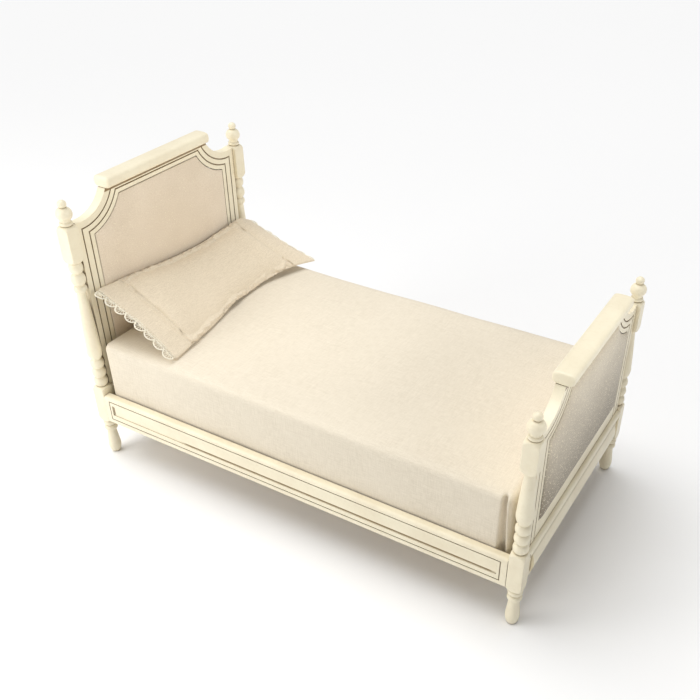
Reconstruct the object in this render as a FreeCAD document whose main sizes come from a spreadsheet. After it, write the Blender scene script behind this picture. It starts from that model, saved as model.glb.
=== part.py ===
import FreeCAD, Part
import math
import os

import Sketcher

# A doll's-house single bed at 1:12, in millimetres. +X across the bed, +Y towards the head,
# +Z up. The origin is on the floor under the middle of the bed. "Left" is -X.

SIZES = {
    # whole bed
    "bed_long": 190.5,
    "bed_wide": 101.4,
    "block_side": 5.62,
    "glue_gap": 0.05,
    # turned legs, blocks and balusters
    "leg_tall": 16.6,
    "foot_radius": 1.7,
    "calf_radius": 2.55,
    "calf_tall": 4.4,
    "neck_radius": 2.1,
    "ankle_ring_tall": 2.6,
    "ring_swell": 0.6,
    "block_corner_share": 1.39,
    "shoulder_tall": 1.8,
    "shoulder_swell": 0.45,
    "low_block_above_rail": 1.2,
    "ring_tall": 4.2,
    "vase_radius": 2.8,
    "vase_belly_tall": 5.2,
    "vase_swell": 0.5,
    "neck_ring_tall": 3.2,
    "neck_ring_swell": 0.3,
    "necking_tall": 12.7,
    "necking_bead_tall": 5.0,
    "head_block_base": 89.0,
    "head_block_tall": 14.7,
    "board_drop": 22.7,
    "foot_block_tall": 12.8,
    # finials
    "collar_tall": 1.5,
    "collar_swell": 0.55,
    "finial_neck_radius": 1.9,
    "finial_neck_tall": 0.8,
    "bulb_tall": 4.6,
    "bulb_swell": 1.55,
    "tip_neck_radius": 1.0,
    "tip_tall": 2.7,
    "tip_flat_radius": 0.35,
    "tip_swell": 0.95,
    # side rails, ledges and slats
    "rail_above_leg": 1.6,
    "rail_tall": 12.4,
    "rail_thick": 3.0,
    "rail_round": 1.2,
    "groove_margin": 1.7,
    "groove_end": 2.3,
    "groove_wide": 0.4,
    "groove_deep": 0.4,
    "field_end": 3.6,
    "field_base": 4.1,
    "field_tall": 4.5,
    "field_deep": 0.35,
    "tenon_long": 2.0,
    "tenon_thick": 1.4,
    "tenon_shoulder": 2.4,
    "ledge_wide": 2.5,
    "ledge_tall": 2.6,
    "ledge_base": 1.2,
    "slat_wide": 11.0,
    "slat_thick": 1.6,
    # end rails
    "end_rail_tall": 14.5,
    "end_rail_recess": 0.9,
    "end_bead_tall": 3.3,
    "end_bead_round": 1.5,
    "strip_thick": 1.2,
    "strip_tall": 8.4,
    "strip_base": 1.6,
    "strip_short": 3.6,
    "strip_swell": 0.9,
    # head and foot boards
    "board_recess": 1.56,
    "board_thick": 3.6,
    "cap_above_block": 7.3,
    "cap_tall": 4.5,
    "cap_deep": 7.6,
    "cap_overhang": 0.35,
    "cap_round": 2.1,
    "tongue_tall": 0.9,
    "tongue_thick": 1.6,
    "tongue_short": 2.0,
    "scoop_inset": 3.4,
    "scoop_rise": 7.3,
    "scoop_radius": 15.2,
    "outer_line_side": 2.5,
    "outer_line_scoop": 2.8,
    "outer_line_top": 0.4,
    "inner_line_side": 5.6,
    "inner_line_scoop": 5.2,
    "inner_line_top": 2.0,
    "line_wide": 0.55,
    "line_deep": 0.4,
    "window_side": 7.7,
    "window_scoop": 7.1,
    "window_top": 3.7,
    "window_sill": 6.8,
    "dowel_radius": 0.6,
    "dowel_half": 1.9,
    "low_dowel_inset": 15.0,
    # upholstery of the boards
    "pad_seat": 1.4,
    "pad_gap": 0.1,
    "core_thick": 0.8,
    "head_crown": 1.2,
    "foot_crown": 2.0,
    "back_crown": 0.6,
    # mattress
    "mattress_gap_side": 0.45,
    "mattress_gap_end": 1.25,
    "mattress_gap_under": 0.3,
    "mattress_tall": 30.55,
    "mattress_round": 4.0,
    "cover_thick": 0.6,
    # pillow
    "pillow_place": 1.8,
    "pillow_gap_back": 2.0,
    "pillow_gap_under": 1.6,
    "pillow_deep": 37.0,
    "pillow_short": 30.0,
    "pillow_edge": 0.5,
    "pillow_rise": 4.6,
    "pillow_belly": 3.4,
    "pillow_tilt": 33.0,
    "case_thick": 0.5,
    "flange_wide": 9.0,
    "flange_thick": 0.8,
    "lace_wide": 3.4,
    "lace_thick": 0.5,
}
SLAT_COUNT = 7
RIGHT, LEFT, HEAD, FOOT = 1, -1, 1, -1


class Size:
    """A length: its present value, and the sheet formula that it is bound to."""

    def __init__(self, value, formula):
        self.value = value
        self.formula = formula

    def _join(self, sign, other, value):
        return Size(value, f"({self.formula} {sign} {formula_of(other)})")

    def __add__(self, other):
        return self._join("+", other, self.value + value_of(other))

    def __sub__(self, other):
        return self._join("-", other, self.value - value_of(other))

    def __mul__(self, other):
        return self._join("*", other, self.value * value_of(other))

    def __truediv__(self, other):
        return self._join("/", other, self.value / value_of(other))

    def __neg__(self):
        return self * -1

    def root(self):
        return Size(math.sqrt(self.value), f"sqrt({self.formula})")

    def flipped(self, sign):
        return self if sign > 0 else -self


def value_of(size):
    return size.value if isinstance(size, Size) else size


def formula_of(size):
    return size.formula if isinstance(size, Size) else str(size)


doc = FreeCAD.newDocument("DollsHouseBed")
sheet = doc.addObject("Spreadsheet::Sheet", "Sizes")
for row, (alias, number) in enumerate(SIZES.items(), start=1):
    sheet.set(f"A{row}", alias)
    sheet.set(f"B{row}", str(number))
    sheet.setAlias(f"B{row}", alias)
doc.recompute()


class Sizes:
    """The sheet's cells, by alias."""

    def __getattr__(self, alias):
        return Size(float(getattr(sheet, alias)), f"Sizes.{alias}")


S = Sizes()
SUB_PARTS = []


# ---------- places that several pieces share ----------

half_block = S.block_side / 2
block_corner_radius = half_block * S.block_corner_share
post_x = S.bed_wide / 2 - half_block
post_y = S.bed_long / 2 - half_block
post_inner_x = post_x - half_block
post_inner_y = post_y - half_block
rail_inner_x = S.bed_wide / 2 - S.rail_thick
rail_mid_x = half_block - S.rail_thick / 2              # from the post's axis
low_dowel_x = post_inner_x - S.low_dowel_inset
rail_base = S.leg_tall + S.rail_above_leg
end_rail_top = rail_base + S.end_rail_tall
low_block_tall = end_rail_top + S.low_block_above_rail - S.leg_tall
end_rail_face = half_block - S.end_rail_recess          # outward from the post's axis
quarter_swell = 1 - math.sqrt(0.5)                      # of a quarter round, as a share of its radius
board_face = S.board_recess - half_block                # along +Y from the post's axis
board_back = board_face + S.board_thick
board_mid = board_face + S.board_thick / 2
slat_base = rail_base + S.ledge_base + S.ledge_tall + S.glue_gap
slat_top = slat_base + S.slat_thick
mattress_base = slat_top + S.mattress_gap_under
mattress_top = mattress_base + S.mattress_tall
pillow_wide = S.bed_wide - S.pillow_short
head_block_top = S.head_block_base + S.head_block_tall
head_cap_base = head_block_top + S.cap_above_block
foot_cap_base = head_cap_base - S.board_drop
head_dowel_z = S.head_block_base + S.head_block_tall / 2
foot_block_base = head_block_top - S.board_drop - S.foot_block_tall
foot_dowel_z = foot_block_base + S.foot_block_tall / 2


# ---------- helpers ----------

def bind(feature, path, size):
    """Bind one property of a feature to the sheet."""
    feature.setExpression(path, formula_of(size))


def place(feature, x=0, y=0, z=0):
    for axis, size in zip("xyz", (x, y, z)):
        if isinstance(size, Size):
            bind(feature, f"Placement.Base.{axis}", size)


def sub_part(label, x=0, y=0, z=0, turn=0, turn_axis=(0, 0, 1)):
    """An empty body that becomes one piece of the bed."""
    body = doc.addObject("PartDesign::Body", label)
    body.Label = label
    body.Placement = FreeCAD.Placement(FreeCAD.Vector(), FreeCAD.Rotation(FreeCAD.Vector(*turn_axis),
                                                                          value_of(turn)))
    if isinstance(turn, Size):
        bind(body, "Placement.Rotation.Angle", turn)
    place(body, x, y, z)
    SUB_PARTS.append(body)
    return body


def sketch_on(body, role, offset=None):
    """A sketch on one of the body's own origin planes, or parallel to it."""
    plane = next(item for item in body.Origin.OriginFeatures if item.Role == role)
    sketch = body.newObject("Sketcher::SketchObject", f"{body.Name}_sketch")
    sketch.AttachmentSupport = (plane, "")
    sketch.MapMode = "FlatFace"
    if offset is not None:
        bind(sketch, "AttachmentOffset.Base.z", offset)
    return sketch


def pin(sketch, edge, end, corner):
    """Fix one end of an edge to the two sizes of its corner."""
    for kind, axis, size in (("DistanceX", -2, corner[0]), ("DistanceY", -1, corner[1])):
        value = value_of(size)
        if value == 0:
            sketch.addConstraint(Sketcher.Constraint("PointOnObject", edge, end, axis))
            continue
        ends = (-1, 1, edge, end) if value > 0 else (edge, end, -1, 1)
        size = size if value > 0 else size * -1
        index = sketch.addConstraint(Sketcher.Constraint(kind, *ends, abs(value)))
        sketch.setExpression(f"Constraints[{index}]", formula_of(size))


def outline(sketch, corners):
    """A closed outline. A corner is (x, y), or (x, y, swell) where the edge that leads to it is an
    arc that stands out by swell, to the right of the way round, or to the left if it is negative."""
    first_edge = sketch.GeometryCount
    ends = []
    for index, corner in enumerate(corners):
        before = corners[index - 1]
        start = FreeCAD.Vector(value_of(before[0]), value_of(before[1]), 0)
        end = FreeCAD.Vector(value_of(corner[0]), value_of(corner[1]), 0)
        if len(corner) == 2:
            sketch.addGeometry(Part.LineSegment(start, end))
            ends.append((1, 2))
            continue
        chord = end - start
        right = FreeCAD.Vector(chord.y, -chord.x, 0).normalize()
        middle = (start + end) / 2 + right * value_of(corner[2])
        turns_left = value_of(corner[2]) > 0
        sketch.addGeometry(left_turning_arc(start, middle, end) if turns_left
                           else left_turning_arc(end, middle, start))
        ends.append((1, 2) if turns_left else (2, 1))
    for index, corner in enumerate(corners):
        edge = first_edge + index
        following = (index + 1) % len(corners)
        sketch.addConstraint(Sketcher.Constraint("Coincident", edge, ends[index][1],
                                                 first_edge + following, ends[following][0]))
        pin(sketch, edge, ends[index][1], corner)
        if len(corner) == 3:
            radius = arc_radius(corners[index - 1], corner)
            limit = sketch.addConstraint(Sketcher.Constraint("Radius", edge, value_of(radius)))
            sketch.setExpression(f"Constraints[{limit}]", formula_of(radius))


def left_turning_arc(start, middle, end):
    """The arc through three points, written anticlockwise as a sketch keeps its arcs."""
    circle = Part.Circle(start, middle, end)
    first = math.atan2(start.y - circle.Center.y, start.x - circle.Center.x)
    last = math.atan2(end.y - circle.Center.y, end.x - circle.Center.x)
    if last <= first:
        last += 2 * math.pi
    return Part.ArcOfCircle(Part.Circle(circle.Center, FreeCAD.Vector(0, 0, 1), circle.Radius), first, last)


def arc_radius(before, corner):
    """The radius of an arc, from its chord and how far it stands out."""
    run = as_size(corner[0]) - before[0]
    climb = as_size(corner[1]) - before[1]
    swell = as_size(corner[2])
    if swell.value < 0:
        swell = -swell
    return ((run * run + climb * climb) / 4 + swell * swell) / (swell * 2)


def as_size(size):
    return size if isinstance(size, Size) else Size(size, str(size))


def pad(body, sketch, length, symmetric=False, backwards=False):
    feature = body.newObject("PartDesign::Pad", f"{body.Name}_pad")
    feature.Profile = sketch
    feature.SideType = "Symmetric" if symmetric else "One side"
    feature.Reversed = backwards
    feature.Length = value_of(length)
    bind(feature, "Length", length)
    return feature


def pocket(body, sketch, depth, symmetric=False, backwards=False):
    """A pocket that has to take material away."""
    doc.recompute()
    before = body.Shape.Volume
    feature = body.newObject("PartDesign::Pocket", f"{body.Name}_pocket")
    feature.Profile = sketch
    feature.SideType = "Symmetric" if symmetric else "One side"
    feature.Reversed = backwards
    feature.Length = value_of(depth)
    bind(feature, "Length", depth)
    doc.recompute()
    if body.Shape.Volume >= before:
        raise RuntimeError(f"{feature.Name} cuts nothing")
    return feature


def block_of(body, kind, low, extent):
    """An AdditiveBox or SubtractiveBox between low and low + extent, in the body's own frame."""
    feature = body.newObject(f"PartDesign::{kind}", f"{body.Name}_{kind}")
    for name, size in zip(("Length", "Width", "Height"), extent):
        bind(feature, name, size)
    place(feature, *low)
    return feature


def drill(body, axis, centre, radius, depth):
    """A round hole, centred half way along its depth."""
    feature = body.newObject("PartDesign::SubtractiveCylinder", f"{body.Name}_hole")
    turn = {"x": FreeCAD.Rotation(FreeCAD.Vector(0, 1, 0), 90), "z": FreeCAD.Rotation()}[axis]
    feature.Placement = FreeCAD.Placement(FreeCAD.Vector(), turn)
    bind(feature, "Radius", radius)
    bind(feature, "Height", depth)
    start = list(centre)
    start["xyz".index(axis)] = as_size(start["xyz".index(axis)]) - depth / 2
    place(feature, *start)
    return feature


def round_edges(body, radius, wanted):
    """A fillet on every edge of the body that the test accepts."""
    doc.recompute()
    base = body.Tip
    names = [f"Edge{i}" for i, edge in enumerate(base.Shape.Edges, start=1) if wanted(edge)]
    feature = body.newObject("PartDesign::Fillet", f"{body.Name}_fillet")
    feature.Base = (base, names)
    feature.Radius = value_of(radius)
    bind(feature, "Radius", radius)
    return feature


# ---------- posts ----------

def turned(start_radius, steps):
    """The half section of a turning, from (rise, radius) or (rise, radius, swell) steps."""
    corners = [(0, 0), (start_radius, 0)]
    level = as_size(0)
    for step in steps:
        level = level + step[0]
        corners.append((step[1], level, *step[2:]))
    return corners


def block_steps(tall):
    """A square block's envelope between its two turned shoulders."""
    return [(S.shoulder_tall, block_corner_radius, S.shoulder_swell),
            (tall - S.shoulder_tall * 2, block_corner_radius),
            (S.shoulder_tall, S.neck_radius, S.shoulder_swell)]


def leg_steps():
    shin = S.leg_tall - S.calf_tall - S.ankle_ring_tall * 2
    ring = (S.ankle_ring_tall, S.neck_radius, S.ring_swell)
    return [(S.calf_tall, S.calf_radius, S.ring_swell / 2), (shin, S.neck_radius), ring, ring]


def baluster_steps(upper_level):
    """Three rings, then a vase that tapers up to the given level."""
    ring = (S.ring_tall, S.neck_radius, S.ring_swell)
    start = S.leg_tall + low_block_tall + S.ring_tall * 3
    taper = upper_level - start - S.vase_belly_tall
    return [ring, ring, ring,
            (S.vase_belly_tall, S.vase_radius, S.vase_swell), (taper, S.neck_radius)]


def necking_steps():
    """The beads between a head post's vase and its upper block."""
    top = S.necking_tall - S.neck_ring_tall - S.necking_bead_tall
    return [(S.neck_ring_tall, S.neck_radius, S.neck_ring_swell),
            (S.necking_bead_tall, S.neck_radius, S.ring_swell),
            (top, S.neck_radius, S.ring_swell * 0.6)]


def finial_steps():
    return [(S.collar_tall, S.neck_radius, S.collar_swell),
            (S.finial_neck_tall, S.finial_neck_radius),
            (S.bulb_tall, S.tip_neck_radius, S.bulb_swell),
            (S.tip_tall, S.tip_flat_radius, S.tip_swell), (0, 0)]


def post(label, x_side, y_side):
    """One turned post: leg, lower block, baluster, upper block and finial in one piece of wood."""
    body = sub_part(label, post_x.flipped(x_side), post_y.flipped(y_side))
    if y_side == HEAD:
        block_base, block_tall = S.head_block_base, S.head_block_tall
        shaft = baluster_steps(block_base - S.necking_tall) + necking_steps()
        dowel_z = head_dowel_z
    else:
        block_base, block_tall = foot_block_base, S.foot_block_tall
        shaft = baluster_steps(block_base)
        dowel_z = foot_dowel_z
    steps = leg_steps() + block_steps(low_block_tall) + shaft + block_steps(block_tall) + finial_steps()
    section = sketch_on(body, "XZ_Plane")
    outline(section, turned(S.foot_radius, steps))
    lathe = body.newObject("PartDesign::Revolution", f"{label}_turning")
    lathe.Profile = section
    lathe.ReferenceAxis = (section, ["V_Axis"])
    lathe.Angle = 360

    flats = sketch_on(body, "XY_Plane")
    for half in (block_corner_radius * 2, half_block):
        outline(flats, [(half, -half), (half, half), (-half, half), (-half, -half)])
    pocket(body, flats, block_base + block_tall, backwards=True)

    mortise_deep = S.tenon_long + S.glue_gap
    mortise_thick = S.tenon_thick + S.glue_gap * 2
    side_tall = S.rail_tall - S.tenon_shoulder * 2 + S.glue_gap * 2
    end_tall = S.end_rail_tall - S.tenon_shoulder * 2 + S.glue_gap * 2
    mortise_z = rail_base + S.tenon_shoulder - S.glue_gap
    side_y = -half_block if y_side == HEAD else half_block - mortise_deep
    side_x = rail_mid_x.flipped(x_side) - mortise_thick / 2
    block_of(body, "SubtractiveBox", (side_x, side_y, mortise_z), (mortise_thick, mortise_deep, side_tall))
    end_x = -half_block if x_side == RIGHT else half_block - mortise_deep
    end_y = end_tenon_y.flipped(y_side) - mortise_thick / 2
    block_of(body, "SubtractiveBox", (end_x, end_y, mortise_z), (mortise_deep, mortise_thick, end_tall))
    hole_deep = S.dowel_half + S.glue_gap
    hole_x = (half_block - hole_deep / 2).flipped(-x_side)
    drill(body, "x", (hole_x, board_mid, dowel_z), S.dowel_radius + S.glue_gap, hole_deep)


# ---------- side rails, ledges and slats ----------

def side_rail(label, x_side):
    """A side rail: rounded top edge, a thin groove round a sunk field, and a tenon at each end."""
    body = sub_part(label, (post_x + rail_mid_x).flipped(x_side), turn=0 if x_side == RIGHT else 180)
    half_thick = S.rail_thick / 2
    half_long = post_inner_y - S.glue_gap
    top = rail_base + S.rail_tall
    section = sketch_on(body, "XZ_Plane")
    outline(section, [(-half_thick, rail_base), (half_thick, rail_base),
                      (half_thick, top - S.rail_round),
                      (half_thick - S.rail_round, top, S.rail_round * quarter_swell),
                      (-half_thick, top)])
    pad(body, section, half_long * 2, symmetric=True)
    for low_y in (half_long, -half_long - S.tenon_long):
        block_of(body, "AdditiveBox", (-(S.tenon_thick / 2), low_y, rail_base + S.tenon_shoulder),
                 (S.tenon_thick, S.tenon_long, S.rail_tall - S.tenon_shoulder * 2))

    groove = sketch_on(body, "YZ_Plane", half_thick)
    for inset in (0, S.groove_wide):
        half = half_long - S.groove_end - inset
        low = rail_base + S.groove_margin + inset
        high = top - S.groove_margin - inset
        outline(groove, [(half, low), (half, high), (-half, high), (-half, low)])
    pocket(body, groove, S.groove_deep)

    field = sketch_on(body, "YZ_Plane", half_thick)
    half = half_long - S.field_end
    low = rail_base + S.field_base
    high = low + S.field_tall
    outline(field, [(half, low), (half, high), (-half, high), (-half, low)])
    pocket(body, field, S.field_deep)


def slat_ledge(label, x_side):
    """The strip inside a side rail that carries the slats' ends."""
    body = sub_part(label, z=rail_base + S.ledge_base)
    outer = rail_inner_x - S.glue_gap
    low_x = outer - S.ledge_wide if x_side == RIGHT else -outer
    half_long = post_inner_y - S.glue_gap
    block_of(body, "AdditiveBox", (low_x, -half_long, 0), (S.ledge_wide, half_long * 2, S.ledge_tall))


def slat(number):
    """One slat across the bed, resting on both ledges."""
    pitch = (post_inner_y * 2 - S.slat_wide) / SLAT_COUNT
    centre = pitch * (number - (SLAT_COUNT + 1) / 2)
    half_long = rail_inner_x - S.glue_gap * 2
    body = sub_part(f"slat_{number}", y=centre, z=slat_base)
    block_of(body, "AdditiveBox", (-half_long, -(S.slat_wide / 2), 0),
             (half_long * 2, S.slat_wide, S.slat_thick))


# ---------- end rails ----------

end_rail_thick = end_rail_face + board_back
end_tenon_y = end_rail_face - end_rail_thick / 2        # outward from the post's axis


def end_rail(label, y_side):
    """The rail under a board, with a bead along its outer top edge and tenons into the posts.
    In its own frame the outside is -Y."""
    body = sub_part(label, y=post_y.flipped(y_side), turn=0 if y_side == FOOT else 180)
    half_long = post_inner_x - S.glue_gap
    bead_low = end_rail_top - S.end_bead_tall
    section = sketch_on(body, "YZ_Plane")
    outline(section, [(-end_rail_face, rail_base), (board_back, rail_base), (board_back, end_rail_top),
                      (S.end_bead_round - half_block, end_rail_top),
                      (-half_block, end_rail_top - S.end_bead_round,
                       S.end_bead_round * quarter_swell),
                      (-half_block, bead_low + S.end_rail_recess),
                      (-end_rail_face, bead_low, S.end_rail_recess * quarter_swell)])
    pad(body, section, half_long * 2, symmetric=True)
    tenon_y = -end_tenon_y - S.tenon_thick / 2
    for low_x in (half_long, -half_long - S.tenon_long):
        block_of(body, "AdditiveBox", (low_x, tenon_y, rail_base + S.tenon_shoulder),
                 (S.tenon_long, S.tenon_thick, S.end_rail_tall - S.tenon_shoulder * 2))
    hole_y = board_mid.flipped(-y_side)
    hole_deep = S.dowel_half + S.glue_gap
    for x_side in (LEFT, RIGHT):
        drill(body, "z", (low_dowel_x.flipped(x_side), hole_y, end_rail_top - hole_deep / 2),
              S.dowel_radius + S.glue_gap, hole_deep)


def end_strip(label, y_side):
    """The rounded moulding glued along the outside of an end rail, short of both posts."""
    body = sub_part(label, y=post_y.flipped(y_side), turn=0 if y_side == FOOT else 180)
    low = rail_base + S.strip_base
    high = low + S.strip_tall
    back = -end_rail_face - S.glue_gap
    front = back - S.strip_thick + S.strip_swell
    section = sketch_on(body, "YZ_Plane")
    outline(section, [(back, low), (back, high), (front, high), (front, low, S.strip_swell)])
    pad(body, section, (post_inner_x - S.strip_short) * 2, symmetric=True)


# ---------- head and foot boards ----------

def scooped_outline(sketch, inset_side, inset_scoop, top, bottom, cap_base):
    """The boards' outline: straight sides, a scooped shoulder at each top corner, a flat top."""
    half = post_inner_x - S.glue_gap - inset_side
    radius = S.scoop_radius + inset_scoop
    centre_x = post_inner_x - S.scoop_inset
    centre_z = cap_base + S.scoop_rise
    across = centre_x - half
    above = centre_z - top
    shoulder_z = centre_z - (radius * radius - across * across).root()
    top_x = centre_x - (radius * radius - above * above).root()
    run = half - top_x
    climb = top - shoulder_z
    chord_half = ((run * run + climb * climb) / 4)
    scoop = radius - (radius * radius - chord_half).root()
    outline(sketch, [(half, bottom), (half, shoulder_z), (top_x, top, -scoop), (-top_x, top),
                     (-half, shoulder_z, -scoop), (-half, bottom)])
    return top_x


def board_frame(label, y_side, cap_base, dowel_z):
    """A board's frame: scooped outline, window for the upholstery, two antique lines, dowel holes."""
    body = sub_part(label, y=post_y.flipped(y_side) + board_face)
    bottom = end_rail_top + S.glue_gap
    blank = sketch_on(body, "XZ_Plane")
    top_x = scooped_outline(blank, as_size(0), as_size(0), cap_base - S.glue_gap, bottom, cap_base)
    pad(body, blank, S.board_thick, backwards=True)
    tongue_half = top_x - S.tongue_short
    block_of(body, "AdditiveBox",
             (-tongue_half, S.board_thick / 2 - S.tongue_thick / 2, cap_base - S.glue_gap),
             (tongue_half * 2, S.tongue_thick, S.tongue_tall))

    window = sketch_on(body, "XZ_Plane")
    scooped_outline(window, S.window_side, S.window_scoop, cap_base - S.window_top,
                    end_rail_top + S.window_sill, cap_base)
    pocket(body, window, S.board_thick)

    lines = ((S.outer_line_side, S.outer_line_scoop, S.outer_line_top),
             (S.inner_line_side, S.inner_line_scoop, S.inner_line_top))
    for side, scoop, drop in lines:
        line = sketch_on(body, "XZ_Plane")
        half_wide = S.line_wide / 2
        scooped_outline(line, side - half_wide, scoop - half_wide, cap_base - drop + half_wide,
                        bottom - 2, cap_base)
        scooped_outline(line, side + half_wide, scoop + half_wide, cap_base - drop - half_wide,
                        bottom - 1, cap_base)
        pocket(body, line, S.line_deep)

    hole_deep = S.dowel_half + S.glue_gap
    half = post_inner_x - S.glue_gap
    for x_side in (LEFT, RIGHT):
        drill(body, "x", ((half - hole_deep / 2).flipped(x_side), S.board_thick / 2, dowel_z),
              S.dowel_radius + S.glue_gap, hole_deep)
        drill(body, "z", (low_dowel_x.flipped(x_side), S.board_thick / 2, bottom + hole_deep / 2),
              S.dowel_radius + S.glue_gap, hole_deep)


def board_cap(label, y_side, cap_base):
    """The rounded capping along a board's top, housed over the frame's tongue."""
    body = sub_part(label, y=post_y.flipped(y_side), z=cap_base)
    half_deep = S.cap_deep / 2
    section = sketch_on(body, "YZ_Plane")
    outline(section, [(half_deep, 0), (half_deep, S.cap_tall), (-half_deep, S.cap_tall), (-half_deep, 0)])
    pad(body, section, (top_half_width() + S.cap_overhang) * 2, symmetric=True)
    round_edges(body, S.cap_round, lambda edge: edge.BoundBox.XLength > S.cap_tall.value)
    tongue_half = top_half_width() - S.tongue_short + S.glue_gap
    tongue_y = board_mid - S.tongue_thick / 2 - S.glue_gap
    block_of(body, "SubtractiveBox", (-tongue_half, tongue_y, 0),
             (tongue_half * 2, S.tongue_thick + S.glue_gap * 2, S.tongue_tall + S.glue_gap))


def top_half_width():
    """Half the width of a frame's flat top."""
    above = S.scoop_rise + S.glue_gap
    return post_inner_x - S.scoop_inset - (S.scoop_radius * S.scoop_radius - above * above).root()


def board_fill(label, y_side, cap_base, start, thick):
    """A layer inside the window: the core board, or the pad on one side of it."""
    body = sub_part(label, y=post_y.flipped(y_side) + board_face + start)
    layer = sketch_on(body, "XZ_Plane")
    scooped_outline(layer, S.window_side + S.pad_gap, S.window_scoop + S.pad_gap,
                    cap_base - S.window_top - S.pad_gap, end_rail_top + S.window_sill + S.pad_gap, cap_base)
    pad(body, layer, thick, backwards=True)


def board_dowels(label, y_side, dowel_z):
    """Four dowels: one into each post, and two down into the end rail."""
    body_y = post_y.flipped(y_side) + board_mid
    pieces = []
    for x_side in (LEFT, RIGHT):
        pieces.append(dowel(f"{label}_post", (post_inner_x.flipped(x_side), body_y, dowel_z), across=True))
        pieces.append(dowel(f"{label}_rail", (low_dowel_x.flipped(x_side), body_y, end_rail_top)))
    group = doc.addObject("Part::Compound", label)
    group.Label = label
    group.Links = pieces
    SUB_PARTS.append(group)


def dowel(name, centre, across=False):
    """One dowel, centred on the joint that it pins."""
    peg = doc.addObject("Part::Cylinder", name)
    length = S.dowel_half * 2 - S.glue_gap
    bind(peg, "Radius", S.dowel_radius)
    bind(peg, "Height", length)
    start = list(centre)
    index = 0 if across else 2
    start[index] = start[index] - length / 2
    if across:
        peg.Placement = FreeCAD.Placement(FreeCAD.Vector(), FreeCAD.Rotation(FreeCAD.Vector(0, 1, 0), 90))
    place(peg, *start)
    return peg


def board(name, y_side, cap_base, dowel_z, crown):
    """One end board: frame, cap, core, two pads and its dowels."""
    board_frame(f"{name}_frame", y_side, cap_base, dowel_z)
    board_cap(f"{name}_cap", y_side, cap_base)
    board_fill(f"{name}_front_pad", y_side, cap_base, -crown, crown + S.pad_seat)
    core_start = S.pad_seat + S.glue_gap
    board_fill(f"{name}_core", y_side, cap_base, core_start, S.core_thick)
    back_start = core_start + S.core_thick + S.glue_gap
    back_thick = S.board_thick - back_start + S.back_crown
    board_fill(f"{name}_back_pad", y_side, cap_base, back_start, back_thick)
    board_dowels(f"{name}_dowels", y_side, dowel_z)


# ---------- mattress and pillow ----------

def mattress():
    """The cover is a closed skin round the filling, with every edge rounded."""
    half_x = rail_inner_x - S.mattress_gap_side
    half_y = post_inner_y - S.mattress_gap_end
    tall = S.mattress_tall
    skin = S.cover_thick

    def on_outside(edge):
        box = edge.BoundBox
        return max(box.XMax, -box.XMin) > half_x.value - skin.value / 2 \
            or max(box.YMax, -box.YMin) > half_y.value - skin.value / 2 \
            or box.ZMax > tall.value - skin.value / 2 or box.ZMin < skin.value / 2

    cover = sub_part("mattress_cover", z=mattress_base)
    block_of(cover, "AdditiveBox", (-half_x, -half_y, 0), (half_x * 2, half_y * 2, tall))
    block_of(cover, "SubtractiveBox", (skin - half_x, skin - half_y, skin),
             ((half_x - skin) * 2, (half_y - skin) * 2, tall - skin * 2))
    round_edges(cover, S.mattress_round - skin, lambda edge: not on_outside(edge))
    round_edges(cover, S.mattress_round, on_outside)

    inner = skin + S.glue_gap
    filling = sub_part("mattress_filling", z=mattress_base + inner)
    block_of(filling, "AdditiveBox", (inner - half_x, inner - half_y, 0),
             ((half_x - inner) * 2, (half_y - inner) * 2, tall - inner * 2))
    round_edges(filling, S.mattress_round - inner, lambda edge: True)


def lens(body, inset):
    """The pillow's section, on the body's YZ plane."""
    section = sketch_on(body, "YZ_Plane")
    edge = S.pillow_edge
    near = as_size(0) + inset
    far = S.pillow_deep - inset
    scale = inset / 2
    outline(section, [(near, -edge), (far, -edge, S.pillow_belly - scale), (far, edge),
                      (near, edge, S.pillow_rise - scale)])
    return section


def pillow_body(label):
    """A body in the pillow's own frame: +Y up its slope from the front edge, +Z out of its top."""
    tilt = math.radians(S.pillow_tilt.value)
    back_y = post_y + board_face - S.head_crown - S.pillow_gap_back
    front_y = back_y - S.pillow_deep * Size(math.cos(tilt), "cos(Sizes.pillow_tilt * 1 deg)")
    front_z = mattress_top + S.pillow_gap_under
    return sub_part(label, S.pillow_place, front_y, front_z, turn=S.pillow_tilt, turn_axis=(1, 0, 0))


def pillow():
    """A pillowcase with a flange and a lace edging at each end, round a filling."""
    case = pillow_body("pillowcase")
    pad(case, lens(case, 0), pillow_wide, symmetric=True)
    half_wide = pillow_wide / 2
    for low_x in (half_wide, -half_wide - S.flange_wide):
        block_of(case, "AdditiveBox", (low_x, S.pillow_edge, -(S.flange_thick / 2)),
                 (S.flange_wide, S.pillow_deep - S.pillow_edge * 2, S.flange_thick))
    skin = S.case_thick
    pocket(case, lens(case, skin), pillow_wide - skin * 2, symmetric=True)
    filling = pillow_body("pillow_filling")
    inner = skin + S.glue_gap
    pad(filling, lens(filling, inner), pillow_wide - inner * 2, symmetric=True)
    for label, x_side in (("pillow_lace_left", LEFT), ("pillow_lace_right", RIGHT)):
        lace = pillow_body(label)
        start = half_wide + S.flange_wide + S.glue_gap
        low_x = start if x_side == RIGHT else -start - S.lace_wide
        block_of(lace, "AdditiveBox", (low_x, S.pillow_edge, -(S.lace_thick / 2)),
                 (S.lace_wide, S.pillow_deep - S.pillow_edge * 2, S.lace_thick))


# ---------- build, check and write ----------

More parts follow.
